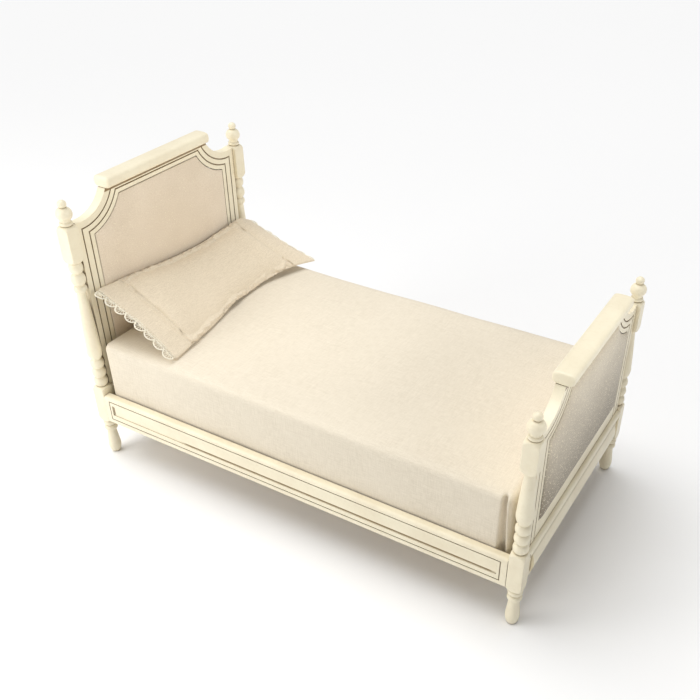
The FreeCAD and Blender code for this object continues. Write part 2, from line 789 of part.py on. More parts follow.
def check_and_write():
    """Refuse anything that failed, then write one file for each piece."""
    doc.recompute()
    for item in doc.Objects:
        if "Invalid" in item.State or "Error" in item.State:
            raise RuntimeError(f"{item.Name} failed: {item.State}")
    os.makedirs("parts", exist_ok=True)
    for piece in SUB_PARTS:
        if piece.Shape.isNull() or not piece.Shape.isValid():
            raise RuntimeError(f"{piece.Label} has no valid shape")
        piece.Shape.exportStep(f"parts/{piece.Label}.step")
        print(f"{piece.Label}: {len(piece.Shape.Solids)} solid(s), {piece.Shape.Volume:.1f} mm3")


post("head_post_left", LEFT, HEAD)
post("head_post_right", RIGHT, HEAD)
post("foot_post_left", LEFT, FOOT)
post("foot_post_right", RIGHT, FOOT)
side_rail("side_rail_left", LEFT)
side_rail("side_rail_right", RIGHT)
slat_ledge("slat_ledge_left", LEFT)
slat_ledge("slat_ledge_right", RIGHT)
for slat_number in range(1, SLAT_COUNT + 1):
    slat(slat_number)
end_rail("head_rail", HEAD)
end_rail("foot_rail", FOOT)
end_strip("head_rail_moulding", HEAD)
end_strip("foot_rail_moulding", FOOT)
board("headboard", HEAD, head_cap_base, head_dowel_z, S.head_crown)
board("footboard", FOOT, foot_cap_base, foot_dowel_z, S.foot_crown)
mattress()
pillow()
check_and_write()
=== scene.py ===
import math

import bpy
import numpy as np
from mathutils import Matrix, Vector, noise


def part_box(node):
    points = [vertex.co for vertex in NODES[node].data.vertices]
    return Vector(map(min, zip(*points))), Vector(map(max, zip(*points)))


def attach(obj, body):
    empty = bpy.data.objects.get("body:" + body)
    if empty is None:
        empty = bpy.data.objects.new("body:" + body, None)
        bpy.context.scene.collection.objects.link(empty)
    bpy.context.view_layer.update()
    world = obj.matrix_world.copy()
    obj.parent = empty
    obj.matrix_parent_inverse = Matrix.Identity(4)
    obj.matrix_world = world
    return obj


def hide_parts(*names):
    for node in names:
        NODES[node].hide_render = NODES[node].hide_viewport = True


# A doll's-house single bed, in metres. +X across, +Y towards the head, +Z up.
# Sizes below are written in millimetres and go through MM where a mesh is made.

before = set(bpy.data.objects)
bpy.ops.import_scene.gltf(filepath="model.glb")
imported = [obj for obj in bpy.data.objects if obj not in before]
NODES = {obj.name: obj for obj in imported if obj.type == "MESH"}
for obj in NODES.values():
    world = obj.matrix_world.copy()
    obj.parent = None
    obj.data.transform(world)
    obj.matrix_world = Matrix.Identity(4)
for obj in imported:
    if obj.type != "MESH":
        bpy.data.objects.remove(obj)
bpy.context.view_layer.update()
MM = 0.001
HEAD_Y, FOOT_Y = 92.44, -92.44              # post axes
POST_X = 47.89
FACE_BACK = 1.25                            # a board's -Y face, from its post axes
HEAD_FACE, FOOT_FACE = HEAD_Y - FACE_BACK, FOOT_Y - FACE_BACK
BOARD_THICK = 3.6
RAIL_FACE = 50.7                            # a side rail's outer face, from the middle
CAP_BASE = {"headboard": 111.0, "footboard": 88.3}
MATTRESS_TOP = 54.5


# ---------- meshes ----------

def add_piece(name, verts, faces, body, material, stands_for=(), sharp=None):
    """A new visible piece, from points in millimetres."""
    mesh = bpy.data.meshes.new(name)
    mesh.from_pydata([tuple(float(c) * MM for c in v) for v in verts], [], faces)
    mesh.validate()
    mesh.polygons.foreach_set("use_smooth", [True] * len(mesh.polygons))
    if sharp:
        mesh.set_sharp_from_angle(angle=math.radians(sharp))
    mesh.materials.append(material)
    obj = bpy.data.objects.new(name, mesh)
    bpy.context.scene.collection.objects.link(obj)
    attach(obj, body)
    if stands_for:
        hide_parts(*stands_for)
    return obj


def closed_loft(rings):
    """Points and faces of a tube through rings of equal length, closed at both ends by a fan."""
    rings = np.asarray(rings, float)
    rows, columns, _ = rings.shape
    verts = list(rings.reshape(-1, 3))
    faces = []
    for a in range(0, (rows - 1) * columns, columns):
        b = a + columns
        for c in range(columns):
            n = (c + 1) % columns
            faces.append((a + c, a + n, b + n, b + c))
    for row, flip in ((0, True), (rows - 1, False)):
        verts.append(rings[row].mean(0))
        centre = len(verts) - 1
        for c in range(columns):
            a, b = row * columns + c, row * columns + (c + 1) % columns
            faces.append((b, a, centre) if flip else (a, b, centre))
    return verts, faces


def arc_points(start, end, swell, count):
    """Points after start up to end on an arc that stands out by swell to the right of the way."""
    start, end = np.array(start, float), np.array(end, float)
    if not swell:
        return [start + (end - start) * (i + 1) / count for i in range(count)]
    chord = end - start
    length = np.linalg.norm(chord)
    right = np.array((chord[1], -chord[0])) / length
    radius = (length * length / 4 + swell * swell) / (2 * abs(swell))
    centre = (start + end) / 2 + right * math.copysign(1, swell) * (abs(swell) - radius)
    a0 = math.atan2(*(start - centre)[::-1])
    a1 = math.atan2(*(end - centre)[::-1])
    turn = (a1 - a0) % (2 * math.pi)
    if swell < 0:
        turn -= 2 * math.pi
    angles = [a0 + turn * (i + 1) / count for i in range(count)]
    return [centre + radius * np.array((math.cos(a), math.sin(a))) for a in angles]


# ---------- materials ----------

class Shader:
    """A procedural material, built round its Principled BSDF."""

    def __init__(self, name, roughness, **sockets):
        self.material = bpy.data.materials.new(name)
        self.material.use_nodes = True
        self.tree = self.material.node_tree
        self.bsdf = self.tree.nodes["Principled BSDF"]
        self.bsdf.inputs["Roughness"].default_value = roughness
        for socket, value in sockets.items():
            self.bsdf.inputs[socket.replace("_", " ").title()].default_value = value
        self.place = self.node("TexCoord").outputs["Object"]

    def node(self, kind, inputs=(), **settings):
        made = self.tree.nodes.new("ShaderNode" + kind)
        for key, value in settings.items():
            setattr(made, key, value)
        for key, value in dict(inputs).items():
            self.feed(made.inputs[key], value)
        return made

    def feed(self, socket, value):
        if isinstance(value, bpy.types.NodeSocket):
            self.tree.links.new(value, socket)
        else:
            socket.default_value = value

    def math(self, operation, a, b=0.0, c=0.0):
        return self.node("Math", {0: a, 1: b, 2: c}, operation=operation).outputs[0]

    def mix(self, factor, a, b):
        return self.node("Mix", {0: factor, 6: a, 7: b}, data_type="RGBA").outputs[2]

    def noise(self, scale, detail=3.0, stretch=(1, 1, 1), rough=0.5):
        spread = self.node("Mapping", {"Vector": self.place, "Scale": stretch}).outputs[0]
        return self.node("TexNoise", {"Vector": spread, "Scale": scale, "Detail": detail,
                                      "Roughness": rough}).outputs["Fac"]

    def ramp(self, value, low, high):
        """0 below low, 1 above high."""
        return self.node("MapRange", {"Value": value, "From Min": low, "From Max": high},
                         clamp=True).outputs[0]

    def band(self, value, low_mm, high_mm, soft_mm=0.08):
        """1 between two places, 0 outside."""
        rise = self.ramp(value, (low_mm - soft_mm) * MM, (low_mm + soft_mm) * MM)
        fall = self.ramp(value, (high_mm - soft_mm) * MM, (high_mm + soft_mm) * MM)
        return self.math("SUBTRACT", rise, fall)

    def bump(self, height, depth_mm):
        inputs = {"Height": height, "Strength": 1.0, "Distance": depth_mm * MM}
        return self.node("Bump", inputs).outputs[0]

    def weave(self, thread_mm, run_mm):
        """Thread shade, from noise drawn out along each axis in turn."""
        across, along = 1 / (thread_mm * MM), 1 / (run_mm * MM)
        total = None
        for axis in range(3):
            stretch = [across] * 3
            stretch[axis] = along
            part = self.noise(1.0, 1.0, stretch)
            total = part if total is None else self.math("ADD", total, part)
        return self.math("DIVIDE", total, 3.0)

    def finish(self, colour, normal=None):
        self.feed(self.bsdf.inputs["Base Color"], colour)
        if normal is not None:
            self.feed(self.bsdf.inputs["Normal"], normal)
        return self.material


def srgb(red, green, blue):
    """A colour as a picture shows it, 0 to 255, as linear light."""
    channels = [c / 255 for c in (red, green, blue)]
    return (*[c / 12.92 if c <= 0.04045 else ((c + 0.055) / 1.055) ** 2.4 for c in channels], 1.0)


CUT_LINE = (0.2, 0.7)                       # brown in a board's cut lines, in from its face
UNDER_CAP = (-1.3, 1.0)                     # painted shadow under a capping's overhang, round its base
FIELD_EDGE_Z, FIELD_EDGE_Y = (22.2, 22.85), (-84.6, 49.0)   # brown along a rail's sunk field
FIELD_END_SHADOW_Z, FIELD_END_SHADOW_Y = (22.6, 27.0), (85.0, 85.8)       # and painted shadow across its head end
RAIL_GROOVE = (49.0, RAIL_FACE - 0.38)      # a rail's groove, out from the middle


def painted_wood(name="ivory_paint", line_face=None, cap_base=0.0, rail=False, turned=False,
                 hollow=None):
    """Ivory paint with antique brown in every recess, deepened there and between parts by painted
    shade. line_face is the place in Y, in millimetres, of a face whose cut lines are filled with
    brown, with painted shadow along the base of a cap at cap_base. rail adds the brown along a side
    rail's groove and sunk field, and painted shadow across the field's head end. turned is gentler,
    for round work. hollow is a (low, high) stretch in Z with painted shade along its length."""
    s = Shader(name, 0.42, coat_weight=0.12, coat_roughness=0.3)
    patch = s.ramp(s.noise(90.0, 3.0), 0.3, 0.7)
    paint = s.mix(patch, srgb(243, 232, 204), srgb(250, 241, 214))
    streak = s.ramp(s.noise(700.0, 4.0), 0.52, 0.8)
    paint = s.mix(s.math("MULTIPLY", streak, 0.12), paint, srgb(206, 186, 138))
    reach, low, high, most = (1.5, 0.3, 0.85, 0.5) if turned else (1.1, 0.26, 0.62, 0.62)
    # painted shade with the antique brown: darker wherever ambient occlusion finds a recess or a
    # gap between parts
    open_wide = s.node("AmbientOcclusion", {"Distance": reach * MM}, samples=8).outputs["AO"]
    shut = s.ramp(s.math("SUBTRACT", 1.0, open_wide), low, high)
    uneven = s.ramp(s.noise(260.0, 3.0), 0.25, 0.75)
    antique_and_shade = s.math("MULTIPLY", shut, s.math("MULTIPLY_ADD", uneven, 0.35, most))
    x, y, z = (s.node("SeparateXYZ", {0: s.place}).outputs[n] for n in range(3))
    facing = s.node("SeparateXYZ", {0: s.node("TexCoord").outputs["Normal"]})
    lines = []
    if line_face is not None:
        outward = s.math("LESS_THAN", facing.outputs[1], -0.8)
        cut = s.band(y, *(line_face + depth for depth in CUT_LINE))
        # painted shadow under the cap's overhang
        under_cap_shadow = s.band(z, *(cap_base + rise for rise in UNDER_CAP), 0.15)
        lines += [s.math("MULTIPLY", line, outward) for line in (cut, under_cap_shadow)]
    if rail:
        outward = s.math("GREATER_THAN", s.math("ABSOLUTE", facing.outputs[0]), 0.8)
        edge = s.math("MULTIPLY", s.band(z, *FIELD_EDGE_Z), s.band(y, *FIELD_EDGE_Y, 1.5))
        # painted shadow in the head end of the sunk field
        end = s.math("MULTIPLY", s.band(z, *FIELD_END_SHADOW_Z, 0.3), s.band(y, *FIELD_END_SHADOW_Y, 0.2))
        groove = s.math("MULTIPLY", s.band(s.math("ABSOLUTE", x), *RAIL_GROOVE, 0.02), 0.55)
        lines += [s.math("MULTIPLY", line, outward) for line in (edge, end, groove)]
    for line in lines:
        worn = s.math("MULTIPLY_ADD", uneven, 0.2, 0.8)
        antique_and_shade = s.math("MAXIMUM", antique_and_shade, s.math("MULTIPLY", line, worn))
    # one brown serves for the antique colour and for the painted shade alike
    antique_and_shade_brown = s.mix(uneven, srgb(112, 84, 42), srgb(138, 110, 66))
    colour = s.mix(antique_and_shade, paint, antique_and_shade_brown)
    if hollow:
        # painted shade along the hollow between the rail's bead and its strip
        shade = s.math("MULTIPLY", s.band(z, *hollow, 0.5), 0.5)
        colour = s.mix(shade, colour, srgb(166, 150, 104))
    grain = s.noise(1.0, 4.0, (900, 900, 900))
    return s.finish(colour, s.bump(grain, 0.02))


def bare_wood():
    s = Shader("bare_wood", 0.62)
    ring = s.noise(1.0, 5.0, (60, 900, 900), 0.6)
    colour = s.mix(s.ramp(ring, 0.3, 0.7), srgb(206, 176, 130), srgb(176, 142, 96))
    pore = s.ramp(s.noise(1.0, 2.0, (250, 5200, 5200)), 0.62, 0.75)
    colour = s.mix(s.math("MULTIPLY", pore, 0.45), colour, srgb(130, 98, 60))
    return s.finish(colour, s.bump(ring, 0.03))


def card():
    s = Shader("card", 0.85)
    fleck = s.noise(2600.0, 4.0)
    return s.finish(s.mix(fleck, srgb(180, 165, 140), srgb(200, 188, 165)), s.bump(fleck, 0.02))


def brocade(name, light, dark, sparkle, shade=None):
    """Fine shimmering cloth: a close weave with small figures and a few bright threads. shade is
    a (low, high) stretch in Z, in millimetres, over which painted shade fades from dark at low to
    none at high."""
    s = Shader(name, 0.6, sheen_weight=0.25, sheen_roughness=0.35)
    figure = s.ramp(s.noise(2600.0, 3.0, rough=0.65), 0.36, 0.64)
    cloud = s.ramp(s.noise(60.0, 2.0), 0.3, 0.7)
    thread = s.weave(0.2, 1.2)
    colour = s.mix(s.math("MULTIPLY_ADD", figure, 0.6, s.math("MULTIPLY", cloud, 0.4)), dark, light)
    colour = s.mix(s.math("MULTIPLY", s.ramp(thread, 0.42, 0.6), 0.3), colour, light)
    # painted shade: the cloth darker towards the bottom, fading out upwards
    if shade:
        height = s.node("SeparateXYZ", {0: s.place}).outputs[2]
        low = s.math("SUBTRACT", 1.0, s.ramp(height, shade[0] * MM, shade[1] * MM))
        colour = s.mix(s.math("MULTIPLY", low, 0.85), colour, srgb(108, 94, 72))
    cells = s.node("TexVoronoi", {"Vector": s.place, "Scale": 3600.0}).outputs["Color"]
    lone = s.node("SeparateColor", {"Color": cells}).outputs[0]
    glint = s.ramp(lone, 1.0 - sparkle, 1.0 - sparkle * 0.6)
    colour = s.mix(s.math("MULTIPLY", glint, 0.9), colour, srgb(255, 246, 222))
    s.feed(s.bsdf.inputs["Metallic"], s.math("MULTIPLY", glint, 0.4))
    height = s.math("ADD", s.math("MULTIPLY", figure, 0.6), s.math("MULTIPLY", thread, 0.8))
    return s.finish(colour, s.bump(height, 0.07))


def linen(name, light, dark, thread_mm, depth_mm, slub=0.25):
    """Plain woven cloth: crossing threads, a few thick slubs, slight clouding."""
    s = Shader(name, 0.88, sheen_weight=0.12, sheen_roughness=0.5)
    thread = s.weave(thread_mm, thread_mm * 14)
    cloud = s.ramp(s.noise(45.0, 2.0), 0.3, 0.7)
    colour = s.mix(s.ramp(thread, 0.38, 0.6), dark, light)
    colour = s.mix(s.math("MULTIPLY", cloud, 0.3), colour, light)
    thick = s.ramp(s.weave(thread_mm * 1.6, thread_mm * 26), 0.57, 0.66)
    colour = s.mix(s.math("MULTIPLY", thick, slub), colour, dark)
    height = s.math("ADD", thread, s.math("MULTIPLY", thick, 0.5))
    return s.finish(colour, s.bump(height, depth_mm))


PAINT = painted_wood()
# the end rails get painted shade along their hollow
PAINT_END_RAIL = painted_wood("ivory_paint_end_rail", hollow=(27.9, 29.5))
PAINT_TURNED = painted_wood("ivory_paint_turned", turned=True)
PAINT_RAIL = painted_wood("ivory_paint_rail", rail=True)
PAINT_HEAD = painted_wood("ivory_paint_headboard", HEAD_FACE, CAP_BASE["headboard"])
PAINT_FOOT = painted_wood("ivory_paint_footboard", FOOT_FACE, CAP_BASE["footboard"])
WOOD = bare_wood()
CARD = card()
PAD_HEAD = brocade("head_brocade", srgb(247, 232, 210), srgb(226, 209, 184), 0.015)
# the foot pad gets painted shade over its lower part
PAD_FOOT = brocade("foot_brocade", srgb(248, 236, 213), srgb(216, 203, 180), 0.08, (38, 84))
COVER = linen("cover_linen", srgb(237, 227, 208), srgb(221, 210, 189), 0.24, 0.05)
PILLOW = linen("pillow_linen", srgb(241, 227, 203), srgb(221, 206, 180), 0.26, 0.06, 0.35)
THREAD = linen("lace_thread", srgb(255, 250, 234), srgb(247, 238, 214), 0.12, 0.02, 0.05)


# ---------- CAD nodes that stay ----------

def dress(node, material):
    """Give a CAD node its material."""
    slots = NODES[node].data.materials
    if len(slots):
        slots[0] = material
    else:
        slots.append(material)


for node in NODES:
    if node.startswith("slat_") or node.endswith("_dowels"):
        dress(node, PAINT if node.startswith("slat_ledge") else WOOD)
    elif node.endswith("_core"):
        dress(node, CARD)
    elif "rail" in node:
        dress(node, PAINT_RAIL if node.startswith("side_rail") else PAINT_END_RAIL)
dress("headboard_frame", PAINT_HEAD)
dress("footboard_frame", PAINT_FOOT)


# ---------- turned posts ----------

LEG_TALL, CALF_TALL, ANKLE_TALL = 16.6, 4.4, 2.6
LOW_BLOCK, SHOULDER, RING, BELLY_TALL = 17.3, 1.8, 4.2, 5.2
HEAD_BLOCK_BASE, HEAD_BLOCK = 89.0, 14.7
FOOT_BLOCK_BASE, FOOT_BLOCK = 68.2, 12.8
FOOT, CALF, NECK, SLIM, BELLY, CORNER = 1.7, 2.55, 1.85, 1.7, 2.9, 3.9      # radii
HALF_BLOCK, SQUARENESS = 2.81, 26.0


def square_block(tall):
    return [(SHOULDER, CORNER, 0.45, "block"), (tall - SHOULDER * 2, CORNER, 0, "block"),
            (SHOULDER, NECK, 0.45, "block")]


def leg():
    shin = LEG_TALL - CALF_TALL - ANKLE_TALL * 2
    ring = (ANKLE_TALL, NECK, 0.85)
    return [(CALF_TALL, CALF, 0.3), (shin, NECK, 0), ring, ring]


def vase(top):
    ring = (RING, NECK, 0.9)
    taper = top - LEG_TALL - LOW_BLOCK - RING * 3 - BELLY_TALL
    return [ring, ring, ring, (BELLY_TALL, BELLY, 0.5), (taper, SLIM, 0.1)]


def finial():
    return [(1.5, NECK, 0.55), (0.8, 1.9, 0), (4.6, 1.0, 1.55), (2.7, 0.35, 0.95)]


def post_steps(block_base, block_tall, necking):
    """(rise, radius, swell) up the post; steps marked block are also cut square."""
    beads = [(3.2, SLIM, 0.8), (5.0, SLIM, 1.05), (4.5, NECK, 0.85)] if necking else []
    shaft = vase(block_base - sum(bead[0] for bead in beads)) + beads
    return leg() + square_block(LOW_BLOCK) + shaft + square_block(block_tall) + finial()


def make_post(name, x, y, block_base, block_tall, necking):
    """A turning with square blocks: each level's outline is the smaller of circle and square."""
    levels = [(0.0, 0.35, False), (0.0, FOOT - 0.15, False), (0.12, FOOT, False)]
    height, radius = 0.0, FOOT
    for rise, width, swell, *kind in post_steps(block_base, block_tall, necking):
        count = 10 if swell else max(2, int(rise / 2.5))
        for r, z in arc_points((radius, height), (width, height + rise), swell, count):
            levels.append((z, r, bool(kind)))
        height, radius = height + rise, width
    levels.append((height + 0.06, 0.2, False))
    angles = np.linspace(0, 2 * math.pi, 64, endpoint=False)
    flat = HALF_BLOCK / np.maximum(abs(np.cos(angles)), abs(np.sin(angles)))
    rings = []
    for z, r, square in levels:
        reach = np.full_like(angles, r)
        if square:
            reach = (r ** -SQUARENESS + flat ** -SQUARENESS) ** (-1 / SQUARENESS)
        rings.append(np.stack([x + reach * np.cos(angles), y + reach * np.sin(angles),
                               np.full_like(angles, z)], 1))
    verts, faces = closed_loft(rings)
    add_piece(name + "_turning", verts, faces, "frame", PAINT_TURNED, [name],
              sharp=50)


for side, x in (("left", -POST_X), ("right", POST_X)):
    make_post(f"head_post_{side}", x, HEAD_Y, HEAD_BLOCK_BASE, HEAD_BLOCK, True)
    make_post(f"foot_post_{side}", x, FOOT_Y, FOOT_BLOCK_BASE, FOOT_BLOCK, False)


# ---------- caps ----------

def make_cap(board, post_y):
    """A capping with a softly domed top, bullnosed long edges and eased ends."""
    half_long, half_deep, tall, ease, power = 28.73, 3.8, 4.5, 0.9, 3.4
    base = CAP_BASE[board]
    angles = np.linspace(0, 2 * math.pi, 56, endpoint=False)
    c, s = np.cos(angles), np.sin(angles)
    reach = (abs(c) ** power + abs(s) ** power) ** (-1 / power)
    long = half_long * 2
    places = np.concatenate([np.linspace(0, 1, 7)[:-1] * ease,
                             np.linspace(ease, long - ease, 21),
                             long - np.linspace(1, 0, 7)[1:] * ease])
    rings = []
    for along in places:
        end = min(along, ease, long - along)
        inset = ease - math.sqrt(max(ease ** 2 - (ease - end) ** 2, 0.0))
        y = post_y + (half_deep - inset) * c * reach
        z = base + tall / 2 + (tall / 2 - inset) * s * reach
        rings.append(np.stack([np.full_like(y, along - half_long), y, z], 1))
    verts, faces = closed_loft(rings)
    add_piece(f"{board}_capping", verts, faces, "frame", PAINT, [f"{board}_cap"],
              sharp=60)


make_cap("headboard", HEAD_Y)
make_cap("footboard", FOOT_Y)


# ---------- upholstered pads ----------

HALF_FRAME, SCOOP_X, SCOOP_RISE, SCOOP_R = 45.03, 41.68, 7.3, 15.2
WINDOW_SIDE, WINDOW_SCOOP, WINDOW_TOP, SILL = 7.7, 7.1, 3.7, 39.5
PAD_GAP, PAD_SEAT, BACK_SEAT = 0.3, 1.3, 1.1


def window_outline(board, gap, per_side=24):
    """The window's outline in X and Z, shrunk by gap, as evenly spread points."""
    base = CAP_BASE[board]
    half = HALF_FRAME - WINDOW_SIDE - gap
    radius = SCOOP_R + WINDOW_SCOOP + gap
    top, bottom = base - WINDOW_TOP - gap, SILL + gap
    centre_z = base + SCOOP_RISE
    low_z = centre_z - math.sqrt(radius ** 2 - (SCOOP_X - half) ** 2)
    top_x = SCOOP_X - math.sqrt(radius ** 2 - (centre_z - top) ** 2)
    a0 = math.atan2(low_z - centre_z, half - SCOOP_X)
    a1 = math.atan2(top - centre_z, top_x - SCOOP_X)
    a1 = a1 if a1 < a0 else a1 - 2 * math.pi
    scoop = [(SCOOP_X + radius * math.cos(a), centre_z + radius * math.sin(a))
             for a in np.linspace(a0, a1, per_side)]
    right = [(half, z) for z in np.linspace(bottom, low_z, per_side, endpoint=False)] + scoop
    left = [(-px, pz) for px, pz in reversed(right)]
    across = [(px, top) for px in np.linspace(top_x, -top_x, per_side * 2)[1:-1]]
    below = [(px, bottom) for px in np.linspace(-half, half, per_side * 2)[1:-1]]
    return np.array(right + across + left + below)


def make_pad(node, board, start_y, face, crown, seat, material):
    """A stuffed pad in a board's window: full in the middle, rolled down to the frame at its edge.
    face is -1 where it shows towards -Y and +1 towards +Y. seat is how deep its back lies."""
    outline = window_outline(board, PAD_GAP)
    centre = outline.mean(0)
    rings = []
    for share in (0.33, 0.99):
        rings.append([(px, start_y - face * seat, pz)
                      for px, pz in centre + (outline - centre) * share])
    steps = [1.0] + list(np.linspace(0.995, 0.9, 10)) + list(np.linspace(0.88, 0.02, 40))
    for share in steps:
        swell = (1 - share ** 7) ** 0.62 * (0.86 + 0.14 * (1 - share ** 2))
        ring = []
        for px, pz in centre + (outline - centre) * share:
            ripple = 0.05 * noise.noise(Vector((px, pz, start_y)) * 0.14)
            ring.append((px, start_y + face * swell * (crown + ripple), pz))
        rings.append(ring)
    verts, faces = closed_loft(rings)
    pad = add_piece(node + "_upholstery", verts, faces, "frame", material,
                    [node])


for board, face_y, crown, cloth in (("headboard", HEAD_FACE, 1.2, PAD_HEAD),
                                    ("footboard", FOOT_FACE, 2.0, PAD_FOOT)):
    make_pad(f"{board}_front_pad", board, face_y, -1, crown, PAD_SEAT, cloth)
    make_pad(f"{board}_back_pad", board, face_y + BOARD_THICK, 1, 0.6, BACK_SEAT, PAD_HEAD)


# ---------- mattress ----------

def axis_steps(half, pitch, fine=()):
    """Places from -half to half, closer together inside each fine (low, high, pitch) stretch."""
    places = [-half]
    while places[-1] < half - 1e-6:
        here = places[-1]
        step = next((p for low, high, p in fine if low <= here < high), pitch)
        places.append(min(here + step, half))
    return np.array(places)


def box_skin(xs, ys, zs):
    """The points and faces of a closed box whose sides are gridded at the given places."""
    index, verts, faces = {}, [], []

    def at(i, j, k):
        if (i, j, k) not in index:
            index[i, j, k] = len(verts)
            verts.append((xs[i], ys[j], zs[k]))
        return index[i, j, k]

    last = (len(xs) - 1, len(ys) - 1, len(zs) - 1)
    for axis in range(3):
        a, b = [n for n in range(3) if n != axis]
        for level, flip in ((0, axis != 1), (last[axis], axis == 1)):
            for i in range(last[a]):
                for j in range(last[b]):
                    corner = []
                    for da, db in ((0, 0), (1, 0), (1, 1), (0, 1)):
                        spot = [0, 0, 0]
                        spot[axis], spot[a], spot[b] = level, i + da, j + db
                        corner.append(at(*spot))
                    faces.append(tuple(reversed(corner)) if flip else tuple(corner))
    return np.array(verts), faces


def smooth_step(value, low, high):
    t = np.clip((value - low) / (high - low), 0, 1)
    return t * t * (3 - 2 * t)


def make_mattress():
    """The covered mattress: soft edges, a slightly full top, and the cover's open pleat at each
    corner of the foot end."""
    low, high = (np.array(c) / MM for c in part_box("mattress_cover"))
    half = (high - low) / 2
    middle = (high + low) / 2
    radius, pitch, pleat_stretch, pleat_pitch = 3.0, 2.4, 7, 0.4
    far_edge_out, foot_full, foot_low, cut_deep, lip_out = 0.9, 1.3, 0.4, 3.1, 0.3
    pleat = ((-half[1], -half[1] + pleat_stretch, pleat_pitch),)
    verts, faces = box_skin(axis_steps(half[0], pitch), axis_steps(half[1], pitch, pleat),
                            axis_steps(half[2], pitch / 2))
    core = np.clip(verts, -(half - radius), half - radius)
    out = verts - core
    length = np.linalg.norm(out, axis=1)
    out = out / np.maximum(length, 1e-9)[:, None]
    verts = core + out * radius
    x, y, z = verts.T
    top = smooth_step(z, half[2] - 6, half[2] - 1)
    fullness = (1 - (x / half[0]) ** 4) * (1 - (y / half[1]) ** 6)
    sag = np.array([noise.noise(Vector((px * 0.03, py * 0.03, 4.0))) for px, py in zip(x, y)])
    verts[:, 2] += top * (fullness * 0.3 - 0.25 + 0.25 * sag)
    verts[:, 0] += far_edge_out * smooth_step(x, 0, half[0]) * top
    to_foot = smooth_step(-y, -20, half[1])
    verts[:, 2] += top * to_foot * (foot_full * smooth_step(x, -25, 35)
                                    - foot_low * smooth_step(-x, 25, half[0]))
    wave = np.array([noise.noise(Vector((px * 0.02, py * 0.035, pz * 0.05)) + Vector((9, 0, 0)))
                     for px, py, pz in zip(x, y, z)])
    verts += out * (wave * 0.28 - 0.12)[:, None]
    for side in (-1, 1):
        on_side = smooth_step(x * side, half[0] - 2.6, half[0] - 1.2)
        rise = np.clip((z + half[2]) / (half[2] * 2), 0, 1)
        line = -half[1] + 3.6 - 1.6 * (1 - rise) ** 2 * 0.6
        gap = 0.75 + 0.7 * (1 - rise)
        shut = 1 - smooth_step(z, half[2] - 3.4, half[2] - 0.5)
        cut = np.exp(-((y - line) / gap) ** 4) * on_side * shut
        lip = np.exp(-((y - (line - gap - 0.5)) / 0.45) ** 2) * on_side * shut
        verts[:, 0] -= side * (cut * cut_deep - lip * lip_out)
    verts += middle
    cover = add_piece("mattress_linen", verts, faces, "mattress", COVER,
                      ["mattress_cover", "mattress_filling"])


make_mattress()


# ---------- pillow ----------

LEFT_SEAM, RIGHT_SEAM = -33.0, 41.5
LEFT_EDGE, RIGHT_EDGE = -42.4, 50.6


def along_x(table, x):
    """Smoothly through (x, value) points."""
    xs, values = zip(*table)
    slopes = np.gradient(values, xs)
    i = int(np.clip(np.searchsorted(xs, x) - 1, 0, len(xs) - 2))
    h = xs[i + 1] - xs[i]
    t = (x - xs[i]) / h
    return ((2 * t ** 3 - 3 * t ** 2 + 1) * values[i] + (t ** 3 - 2 * t ** 2 + t) * h * slopes[i]
            + (3 * t ** 2 - 2 * t ** 3) * values[i + 1] + (t ** 3 - t ** 2) * h * slopes[i + 1])


# The pillow's front edge in Y and in Z, and its back edge in Z, each against X.
FRONT_Y = [(-42.4, 55.0), (-33, 56.0), (-16, 58.5), (0.6, 61.7), (15, 63.1), (23, 63.0),
           (38, 59.1), (50.6, 54.4)]
FRONT_Z = [(-42.4, 55.3), (-33, 55.6), (-4, 55.6), (3, 56.3), (10, 55.7), (24, 55.9),
           (34, 57.0), (44, 57.2), (50.6, 56.4)]
BACK_Z = [(-42.4, 77.2), (-33, 76.2), (-10, 73.0), (14, 71.2), (33, 72.0), (46, 72.2),
          (50.6, 70.0)]
BACK_LIMIT_Y, PILLOW_SLOPE = 89.6, math.radians(29)
PRESSURE, MOST_MOVE = 2.5, 2.2


def pillow_middle(x, v):
    """The pillow's middle layer: v runs from 0 at its front edge to 1 at its back edge."""
    front = np.array((x, along_x(FRONT_Y, x), along_x(FRONT_Z, x)))
    back_y = 88.3 - 0.0004 * (x - 4) ** 2
    back = np.array((x, back_y, along_x(BACK_Z, x)))
    spot = front + (back - front) * v
    spot[2] += 1.2 * math.sin(math.pi * v)
    ends = 1 - 4 * (v - 0.5) ** 2
    spot[0] -= (ends * 3.2 + 3.6 * v * v) * smooth_step(x, 10, RIGHT_EDGE)
    spot[0] += (ends * 0.9 - 2.6 * (v - 0.35)) * smooth_step(-x, 15, -LEFT_EDGE)
    return spot


def pillow_puff(x, v):
    """How full the pillow is at a point, from 0 at its seams to 1."""
    u = (x - LEFT_SEAM) / (RIGHT_SEAM - LEFT_SEAM)
    if not 0 < u < 1:
        return 0.0
    across = (1 - abs(2 * u - 1) ** 11) ** 0.5
    up = (1 - abs(2 * v - 1) ** 3.2) ** 0.6
    return across * up


